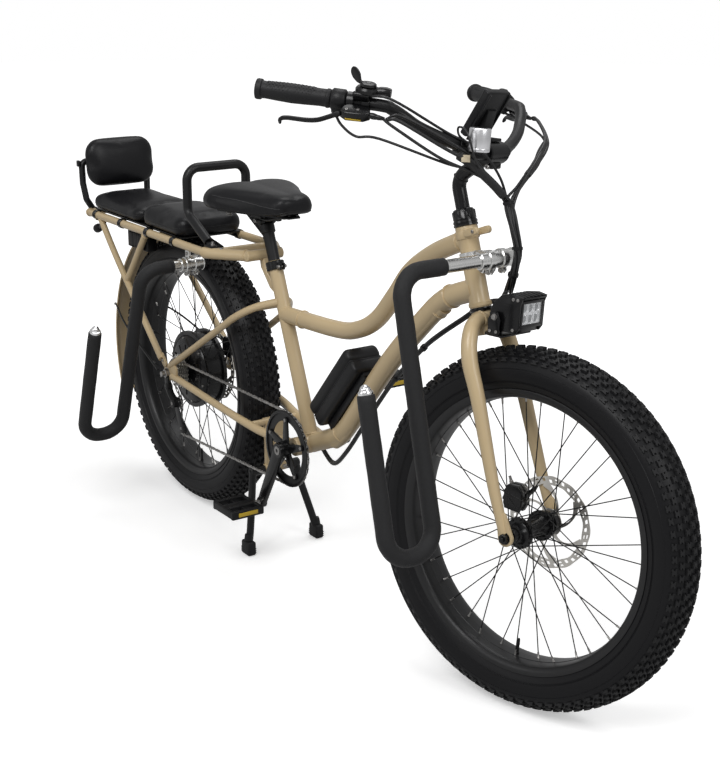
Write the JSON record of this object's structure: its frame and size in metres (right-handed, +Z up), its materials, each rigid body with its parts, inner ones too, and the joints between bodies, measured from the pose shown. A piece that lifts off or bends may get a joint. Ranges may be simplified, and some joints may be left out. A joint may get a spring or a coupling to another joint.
{
  "type": "electric bicycle",
  "caption": "Fat-tyre cruiser electric bicycle with a steerable front end, a padded passenger seat with backrest, and two hinged side-rack arms.",
  "frame": {"origin": "on the ground, under the middle of the whole bicycle's box", "axes": "+X forwards, +Y to the rider's left, +Z up; the handlebar is stored turned 15.2 degrees to the left, as in the picture"},
  "size_m": [2.0816, 0.6748, 1.1818],
  "materials": {
    "tan_paint": "satin",
    "black_paint": "satin",
    "black_plastic": "matte",
    "tyre_rubber": "matte",
    "rubber": "matte",
    "black_foam": "matte foam",
    "black_vinyl": "soft satin",
    "brushed_steel": "brushed",
    "alloy": "black anodised",
    "chrome": "polished"
  },
  "bodies": {
    "frame": {"main_frame": "tan_paint", "rear_stays": "tan_paint", "rear_rack": "tan_paint", "rear_fender": "tan_paint", "upper_cup": "black_paint", "lower_cup": "black_paint", "seat_clamp": "black_paint", "cushion_base": "black_paint", "backrest_frame": "black_paint", "grab_bar": "black_paint", "battery_pack": "black_plastic", "controller_box": "black_plastic", "tail_light": "black_plastic", "derailleur": "black_plastic", "cable_loom": "rubber", "rear_cushion": "black_vinyl", "front_cushion": "black_vinyl", "backrest_pad": "black_vinyl", "front_receiver": "brushed_steel", "rear_receiver": "brushed_steel", "chain": "brushed_steel", "rear_caliper": "black_paint"},
    "steering": {"fork": "tan_paint", "stem": "black_paint", "handlebar": "black_paint", "light_bracket": "black_paint", "front_caliper": "black_paint", "display": "black_plastic", "left_grip": "rubber", "horn": "chrome", "right_perch": "black_plastic", "left_perch": "black_plastic", "shifter": "black_plastic"},
    "front_wheel": {"front_tyre": "tyre_rubber", "front_rim": "alloy", "front_hub": "black_paint", "front_rotor": "brushed_steel"},
    "rear_wheel": {"rear_tyre": "tyre_rubber", "rear_rim": "alloy", "rear_motor": "black_paint", "rear_rotor": "brushed_steel"},
    "cassette": {"cassette": "brushed_steel"},
    "crank": {"right_crank": "black_paint", "left_crank": "black_paint"},
    "right_pedal": {"right_pedal": "black_plastic"},
    "left_pedal": {"left_pedal": "black_plastic"},
    "stand": {"centre_stand": "black_paint"},
    "front_arm": {"front_arm": "brushed_steel", "front_arm_foam": "black_foam"},
    "rear_arm": {"rear_arm": "brushed_steel", "rear_arm_foam": "black_foam"},
    "seat": {"seat_post": "black_paint", "saddle_frame": "black_paint", "saddle_pad": "black_vinyl"},
    "right_lever": {"right_lever": "black_paint"},
    "left_lever": {"left_lever": "black_paint"},
    "throttle": {"throttle_grip": "rubber"},
    "shift_paddle": {"shift_paddle": "black_plastic"},
    "assist_rocker": {"assist_rocker": "black_plastic"},
    "headlight": {"headlight": "black_paint"}
  },
  "joints": [
    {"name": "steer", "type": "hinge", "parent": "frame", "child": "steering", "pos_m": [0.54313, 0.028, 0.74179], "axis": [-0.3272, 0, 0.9449], "range_deg": [-50, 20], "deforming": ["cable_loom"]},
    {"name": "front_wheel_spin", "type": "hinge", "parent": "steering", "child": "front_wheel", "pos_m": [0.70131, 0.03349, 0.34676], "axis": [-0.2478, 0.965, -0.0858], "continuous": true},
    {"name": "rear_wheel_spin", "type": "hinge", "parent": "frame", "child": "rear_wheel", "pos_m": [-0.578, 0.028, 0.347], "axis": [0, 1, 0], "continuous": true},
    {"name": "crank_spin", "type": "hinge", "parent": "frame", "child": "crank", "pos_m": [-0.043, 0.028, 0.3], "axis": [0, 1, 0], "continuous": true},
    {"name": "cassette_spin", "type": "hinge", "parent": "frame", "child": "cassette", "pos_m": [-0.578, 0.028, 0.347], "axis": [0, 1, 0], "continuous": true},
    {"name": "right_pedal_spin", "type": "hinge", "parent": "crank", "child": "right_pedal", "pos_m": [-0.12281, -0.124, 0.1499], "axis": [0, 1, 0], "continuous": true},
    {"name": "left_pedal_spin", "type": "hinge", "parent": "crank", "child": "left_pedal", "pos_m": [0.03681, 0.18, 0.4501], "axis": [0, 1, 0], "continuous": true},
    {"name": "stand_fold", "type": "hinge", "parent": "frame", "child": "stand", "pos_m": [-0.213, 0.028, 0.19], "axis": [0, 1, 0], "range_deg": [0, 82]},
    {"name": "front_arm_swing", "type": "hinge", "parent": "frame", "child": "front_arm", "pos_m": [0.572, 0.028, 0.838], "axis": [0, -1, 0], "range_deg": [-60, 20]},
    {"name": "rear_arm_swing", "type": "hinge", "parent": "frame", "child": "rear_arm", "pos_m": [-0.452, 0.028, 0.65], "axis": [0, -1, 0], "range_deg": [-30, 50]},
    {"name": "seat_height", "type": "slide", "parent": "frame", "child": "seat", "axis": [-0.3746, 0, 0.9272], "range_m": [-0.05, 0.06]},
    {"name": "right_brake", "type": "hinge", "parent": "steering", "child": "right_lever", "pos_m": [0.46252, -0.23536, 1.10805], "axis": [-0.465, 0.336, -0.819], "range_deg": [0, 14], "stiffness_Nm_per_rad": 1},
    {"name": "left_brake", "type": "hinge", "parent": "steering", "child": "left_lever", "pos_m": [0.33091, 0.27726, 1.06247], "axis": [0.2124, 0.6478, 0.7316], "range_deg": [0, 14], "stiffness_Nm_per_rad": 1},
    {"name": "throttle_twist", "type": "hinge", "parent": "steering", "child": "throttle", "pos_m": [0.37813, -0.27841, 1.1383], "axis": [-0.6999, -0.7061, 0.1076], "range_deg": [0, 70], "stiffness_Nm_per_rad": 0.15},
    {"name": "gear_shift", "type": "hinge", "parent": "steering", "child": "shift_paddle", "pos_m": [0.47434, -0.18556, 1.14777], "axis": [0.1889, 0.0143, 0.9819], "range_deg": [-30, 30]},
    {"name": "assist_key", "type": "hinge", "parent": "steering", "child": "assist_rocker", "pos_m": [0.31581, 0.25627, 1.11039], "axis": [-0.2899, -0.9538, 0.079], "range_deg": [-5, 5], "stiffness_Nm_per_rad": 0.02},
    {"name": "light_tilt", "type": "hinge", "parent": "steering", "child": "headlight", "pos_m": [0.60696, 0.04417, 0.73929], "axis": [-0.2478, 0.965, -0.0858], "range_deg": [-20, 12]}
  ],
  "couplings": [
    {"joint": "cassette_spin", "follows": "crank_spin", "ratio": 2.75}
  ]
}
